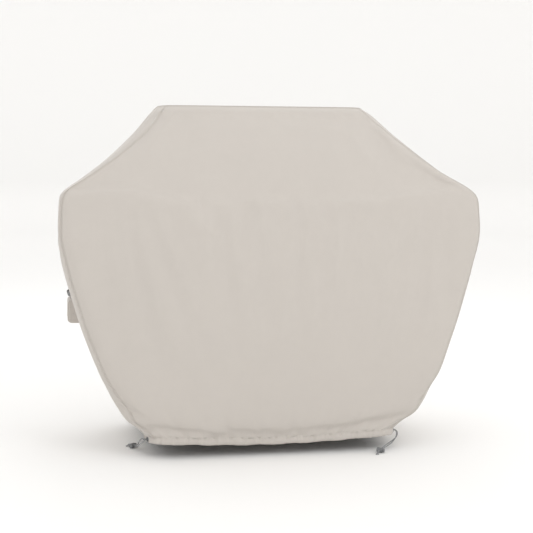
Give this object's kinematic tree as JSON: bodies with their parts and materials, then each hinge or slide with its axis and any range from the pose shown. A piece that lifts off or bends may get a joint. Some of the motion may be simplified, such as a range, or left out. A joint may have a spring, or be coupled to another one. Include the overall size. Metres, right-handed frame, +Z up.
{
  "type": "grill cover",
  "caption": "Fitted greige woven-polyester cover for a cart grill, with vents, side handles and a drawcord hem.",
  "frame": {"origin": "centre of the flat inner face of the top panel, where it rests on the grill's lid; the floor is 1.215 m below", "axes": "+X along the cover's length, to the right seen from the front; +Y towards the back; +Z up"},
  "size_m": [1.475, 0.629, 1.2161],
  "materials": {
    "shell_fabric": "woven, coated inside",
    "seam_tape": "semi-gloss film",
    "hood_fabric": "woven",
    "mesh": "open mesh",
    "webbing": "ribbed webbing",
    "hook_and_loop": "napped",
    "stiffener": "matte",
    "cord": "braided",
    "lock_plastic": "matte moulded",
    "eyelet_metal": "blackened nickel",
    "spring_steel": "bright",
    "label": "smooth satin"
  },
  "bodies": {
    "cover": {"back_hem": "shell_fabric", "back_panel": "shell_fabric", "back_seam_tape": "seam_tape", "care_label": "label", "front_drawcord": "cord", "front_hem": "shell_fabric", "front_panel": "shell_fabric", "front_seam_tape": "seam_tape", "left_cord_knot": "cord", "left_eyelet": "eyelet_metal", "left_eyelet_washer": "eyelet_metal", "left_front_strand": "cord", "left_handle_ends": "webbing", "left_hem": "shell_fabric", "left_loop_patch": "hook_and_loop", "left_rear_strand": "cord", "left_side_panel": "shell_fabric", "left_slope_panel": "shell_fabric", "left_vent_binding": "webbing", "left_vent_mesh": "mesh", "rear_drawcord": "cord", "right_cord_knot": "cord", "right_eyelet": "eyelet_metal", "right_eyelet_washer": "eyelet_metal", "right_front_strand": "cord", "right_handle_ends": "webbing", "right_hem": "shell_fabric", "right_loop_patch": "hook_and_loop", "right_rear_strand": "cord", "right_side_panel": "shell_fabric", "right_slope_panel": "shell_fabric", "right_vent_binding": "webbing", "right_vent_mesh": "mesh", "top_panel": "shell_fabric"},
    "left_lock": {"left_lock_barrel": "lock_plastic", "left_lock_spring": "spring_steel"},
    "left_plunger": {"left_lock_plunger": "lock_plastic"},
    "left_hood": {"left_vent_hood": "hood_fabric"},
    "left_prop": {"left_vent_prop": "stiffener", "left_hook_patch": "hook_and_loop"},
    "left_grip": {"left_handle": "webbing"},
    "right_lock": {"right_lock_barrel": "lock_plastic", "right_lock_spring": "spring_steel"},
    "right_plunger": {"right_lock_plunger": "lock_plastic"},
    "right_hood": {"right_vent_hood": "hood_fabric"},
    "right_prop": {"right_vent_prop": "stiffener", "right_hook_patch": "hook_and_loop"},
    "right_grip": {"right_handle": "webbing"}
  },
  "joints": [
    {"name": "left_lock_slide", "type": "slide", "parent": "cover", "child": "left_lock", "axis": [-0.6187, 0.7823, -0.0718], "range_m": [-0.004, 0.006]},
    {"name": "left_lock_press", "type": "slide", "parent": "left_lock", "child": "left_plunger", "axis": [-0.7844, -0.6203, 0], "range_m": [0, 0.003], "stiffness_N_per_m": 600, "springref_m": -0.002, "deforming": ["left_lock_spring"]},
    {"name": "left_hood_lift", "type": "hinge", "parent": "cover", "child": "left_hood", "pos_m": [-0.68205, 0, -0.688], "axis": [0, 1, 0], "range_deg": [0, 20]},
    {"name": "left_prop_fold", "type": "hinge", "parent": "cover", "child": "left_prop", "pos_m": [-0.66165, 0, -0.7635], "axis": [0, -1, 0], "range_deg": [0, 100]},
    {"name": "left_handle_flop", "type": "hinge", "parent": "cover", "child": "left_grip", "pos_m": [-0.68729, 0, -0.6705], "axis": [0, 1, 0], "range_deg": [-22, 22]},
    {"name": "right_lock_slide", "type": "slide", "parent": "cover", "child": "right_lock", "axis": [-0.6211, -0.7813, -0.0615], "range_m": [-0.004, 0.006]},
    {"name": "right_lock_press", "type": "slide", "parent": "right_lock", "child": "right_plunger", "axis": [-0.7828, 0.6223, 0], "range_m": [0, 0.003], "stiffness_N_per_m": 600, "springref_m": -0.002, "deforming": ["right_lock_spring"]},
    {"name": "right_hood_lift", "type": "hinge", "parent": "cover", "child": "right_hood", "pos_m": [0.68205, 0, -0.688], "axis": [0, -1, 0], "range_deg": [0, 20]},
    {"name": "right_prop_fold", "type": "hinge", "parent": "cover", "child": "right_prop", "pos_m": [0.66165, 0, -0.7635], "axis": [0, 1, 0], "range_deg": [0, 100]},
    {"name": "right_handle_flop", "type": "hinge", "parent": "cover", "child": "right_grip", "pos_m": [0.68729, 0, -0.6705], "axis": [0, -1, 0], "range_deg": [-22, 22]}
  ]
}
